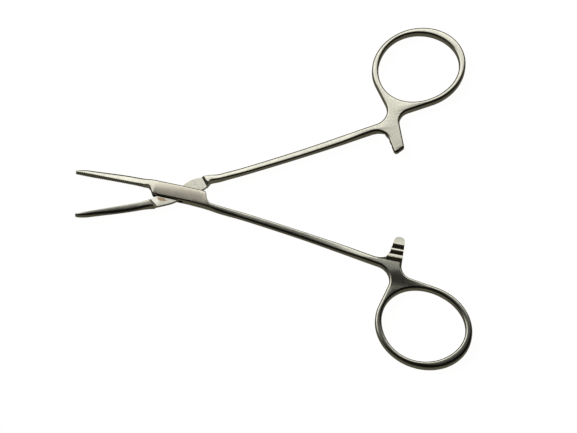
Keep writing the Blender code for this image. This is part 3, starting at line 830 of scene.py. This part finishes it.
def recess(upper):
    """Block whose lower face is the tongue's and whose ends slope up to the lock's face."""
    floor = MID_Z + TONGUE_THICKNESS / 2
    rise = LOCK_THICKNESS - floor + OVERSHOOT
    grow = rise / (LOCK_THICKNESS - floor)
    mouth = RECESS_FLOOR + (RECESS_MOUTH - RECESS_FLOOR) * grow
    z_low, z_high = floor, floor + rise
    if not upper:
        z_low, z_high = 2 * MID_Z - z_low, 2 * MID_Z - z_high
    return prism("recess", RECESS_FLOOR, mouth, z_low, z_high, 1)


male_steel = satin_steel("Satin steel of the tongue half", grain_turn=20.0, line_share=0.4)
# Painted shade in the jaw's cross grooves.
paint_groove_shade(male_steel, 1, TONGUE_JAW_SHIFT)
# Beside the box the tongue carries a dark brown patch. Its shoulder has a painted highlight, with
# painted shade at its foot.
tinted(
    male_steel, colour=(0.30, 0.19, 0.11), share=0.9, place=(-5.8, -2.1, 2.3), turn=-14.0,
    size=(1.5, 0.50, 0.7), raggedness=0.9, softness=0.5,
)
# Painted highlight on the shoulder of the recess.
tinted(
    male_steel, colour=(0.86, 0.85, 0.80), share=0.8, place=(-7.7, -2.3, 2.3), turn=-48.5,
    size=(1.5, 0.9, 0.7), raggedness=0.5, softness=0.6,
)
# Painted shade along the foot of the shoulder.
tinted(
    male_steel, colour=(0.07, 0.06, 0.045), share=1.0, place=(-8.25, -3.25, 2.3), turn=-48.5,
    size=(2.0, 0.26, 0.6), raggedness=0.4, softness=0.5,
)
male_half = in_scene(
    "tongue_half", forging("tongue half", TONGUE_JAW_SHIFT, TONGUE_LOCK, MALE_BAR_END, 1),
    male_steel,
)
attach(male_half, "male_body")
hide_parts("male_half")
cut(male_half, ratchet_cutter(False, 1), recess(True), recess(False), bore())
shaded(male_half)


# The rivet.  A plain steel pin through box and tongue, peened over and ground flush with the
# box on both sides, so that its ends can hardly be seen.

RIVET_EDGE = 0.01
RIVET_ROW = BOX[7]


def pin_surface():
    """Grid of points down the pin: (ring, place round it, xyz), from pole to pole.

    The rings grow from a point in the middle of the lower end to the full radius and shrink to a
    point above.  Both ends follow the crown that the box has there, with a small broken edge.
    """
    t = np.linspace(0, 2 * math.pi, PIN_SEGMENTS, endpoint=False)[None, :]
    inner = (RIVET_RADIUS - RIVET_EDGE) * np.linspace(0, 1, 5)
    radius = np.concatenate([inner, [RIVET_RADIUS, RIVET_RADIUS], inner[::-1]])[:, None]
    side = np.repeat([-1, 1], len(radius) // 2)[:, None]
    edge = np.where(radius == RIVET_RADIUS, RIVET_EDGE, 0.0)
    x, y = radius * np.cos(t), radius * np.sin(t)
    turn = math.radians(HALF_OPENING)
    o = -(x * math.sin(turn) + y * math.cos(turn))
    _, a_o, _, b_o, _, _, _, crown, top = RIVET_ROW
    across = (o - a_o) / (b_o - a_o)
    up = LOCK_THICKNESS / 2 * (1 - crown * ((across - top) / (1 - top)) ** 2) - edge
    return np.stack([x, y, MID_Z + side * up], axis=2)


pin = pin_surface()
pin_faces = grid_faces(numbered(pin).T, close_rows=True)
pin_mesh = welded(mesh_of("rivet", pin.reshape(-1, 3), pin_faces.tolist()))
rivet_steel = satin_steel("Ground steel of the rivet", grain_turn=-20.0, line_share=0.5)
tinted(rivet_steel, **BOX_TINT)
rivet = in_scene("rivet_pin", pin_mesh, rivet_steel)
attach(rivet, "female_body")
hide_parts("rivet")
shaded(rivet)


# The table.  A plain white sheet of paper on which the forceps lie.  Most of its brightness is
# its own, so that it is as even as in the photograph and the shadow all but disappears.

FLOOR_HALF = 6.0


def flat_sheet(name, corners, material):
    """A level sheet with these corners (x, y) in metres, added to the scene."""
    mesh = bpy.data.meshes.new(name)
    mesh.from_pydata([(x, y, 0.0) for x, y in corners], [], [(0, 1, 2, 3)])
    return in_scene(name, mesh, material)


paper = bpy.data.materials.new("White paper")
paper.use_nodes = True
sheet = paper.node_tree.nodes["Principled BSDF"]
sheet.inputs["Base Color"].default_value = (0.9, 0.9, 0.9, 1.0)
sheet.inputs["Roughness"].default_value = 0.9
sheet.inputs["Specular IOR Level"].default_value = 0.0
sheet.inputs["Emission Color"].default_value = (1.0, 1.0, 1.0, 1.0)
sheet.inputs["Emission Strength"].default_value = 0.97
floor = flat_sheet(
    "floor",
    ((-FLOOR_HALF, -FLOOR_HALF), (FLOOR_HALF, -FLOOR_HALF),
     (FLOOR_HALF, FLOOR_HALF), (-FLOOR_HALF, FLOOR_HALF)),
    paper,
)
floor.visible_glossy = False


# The light.  One large soft box hangs over and beyond the forceps.  It is brightest far from
# them and fades out towards its slanting near edge, so that flat steel turns from bright to dark
# across the picture.  The room is dark but for a window's soft light from the left.

CLOTH_HEIGHT = 0.3
CLOTH_LEFT, CLOTH_RIGHT, CLOTH_START, CLOTH_END = -0.45, 0.45, -0.05, 0.54
# The fade runs over FADE_HALF to both sides of the line y = NEAR_EDGE + NEAR_SLOPE * x.
NEAR_EDGE, NEAR_SLOPE, FADE_HALF = 0.111, 0.35, 0.125
GLOW = (
    (0.0, 0.0), (0.31, 0.13), (0.39, 0.36), (0.43, 0.43), (0.50, 0.45), (0.54, 0.57),
    (0.57, 0.98), (0.60, 1.22), (0.67, 1.22), (0.85, 1.5),
)
glow = bpy.data.materials.new("Softbox cloth")
glow.use_nodes = True
tree = glow.node_tree
tree.nodes.remove(tree.nodes["Principled BSDF"])
cloth = tree.nodes.new("ShaderNodeEmission")
cloth.inputs["Color"].default_value = (1.0, 0.99, 0.96, 1.0)
axes = tree.nodes.new("ShaderNodeSeparateXYZ")
put(tree, tree.nodes.new("ShaderNodeTexCoord").outputs["Object"], axes.inputs["Vector"])
aslant = worked(tree, "MULTIPLY_ADD", axes.outputs["X"], -NEAR_SLOPE, axes.outputs["Y"])
beyond = ranged(tree, aslant, NEAR_EDGE - FADE_HALF, NEAR_EDGE + FADE_HALF)
fade = colour_ramp(tree, beyond, [(place, grey(level)) for place, level in GLOW])
put(tree, fade, cloth.inputs["Strength"])
put(tree, cloth.outputs["Emission"], tree.nodes["Material Output"].inputs["Surface"])
softbox = flat_sheet(
    "softbox",
    ((CLOTH_LEFT, CLOTH_START), (CLOTH_LEFT, CLOTH_END),
     (CLOTH_RIGHT, CLOTH_END), (CLOTH_RIGHT, CLOTH_START)),
    glow,
)
softbox.location = (0.0, 0.0, CLOTH_HEIGHT)
softbox.visible_camera = False
softbox.visible_diffuse = False
softbox.visible_shadow = False

# The room's colour from straight below to straight above, and the window.
ROOM = (
    (0.0, (0.13, 0.125, 0.095)), (0.45, (0.12, 0.115, 0.09)), (0.53, (0.02, 0.018, 0.014)),
    (1.0, (0.004, 0.004, 0.003)),
)
WINDOW_DIRECTION, WINDOW_RIM, WINDOW_CORE, WINDOW_LEVEL = (-0.78, 0.38, 0.5), 0.80, 0.98, 0.32
world = bpy.data.worlds.new("room")
bpy.context.scene.world = world
world.use_nodes = True
tree = world.node_tree
background = tree.nodes["Background"]
direction = tree.nodes.new("ShaderNodeTexCoord").outputs["Generated"]
split = tree.nodes.new("ShaderNodeSeparateXYZ")
put(tree, direction, split.inputs["Vector"])
height = ranged(tree, split.outputs["Z"], -1.0, 1.0)
toward = vector_worked(tree, "DOT_PRODUCT", "Value", direction, WINDOW_DIRECTION)
window = ranged(tree, toward, WINDOW_RIM, WINDOW_CORE, high=WINDOW_LEVEL, kind="SMOOTHSTEP")
lit = vector_worked(tree, "ADD", "Vector", colour_ramp(tree, height, ROOM), window)
put(tree, lit, background.inputs["Color"])
background.inputs["Strength"].default_value = 1.0


# The camera.  A long lens looks down at 66 degrees, turned a little, as in the photograph.  AIM,
# in metres, is the point at the middle of the picture, halfway up the lock.

AZIMUTH, ELEVATION, ROLL = (math.radians(a) for a in (-1.849, 66.0, 2.02))
DISTANCE = 0.9529
AIM = np.array([0.03183, -0.00717, MID_Z * MM])
IMAGE_WIDTH, FOCAL_PIXELS, SENSOR_WIDTH = 577, 3223.7, 36.0
back = np.array([
    math.sin(AZIMUTH) * math.cos(ELEVATION),
    -math.cos(AZIMUTH) * math.cos(ELEVATION),
    math.sin(ELEVATION),
])
level = np.array([math.cos(AZIMUTH), math.sin(AZIMUTH), 0.0])
upright = np.cross(back, level)
right = level * math.cos(ROLL) + upright * math.sin(ROLL)
up = upright * math.cos(ROLL) - level * math.sin(ROLL)
camera_data = bpy.data.cameras.new("camera")
camera_data.sensor_width = SENSOR_WIDTH
camera_data.lens = FOCAL_PIXELS / IMAGE_WIDTH * SENSOR_WIDTH
camera = bpy.data.objects.new("camera", camera_data)
bpy.context.scene.collection.objects.link(camera)
stand = np.eye(4)
stand[:3, 0], stand[:3, 1], stand[:3, 2], stand[:3, 3] = right, up, back, AIM + DISTANCE * back
camera.matrix_world = Matrix(stand.tolist())
bpy.context.scene.camera = camera
bpy.context.scene.view_settings.view_transform = "Standard"
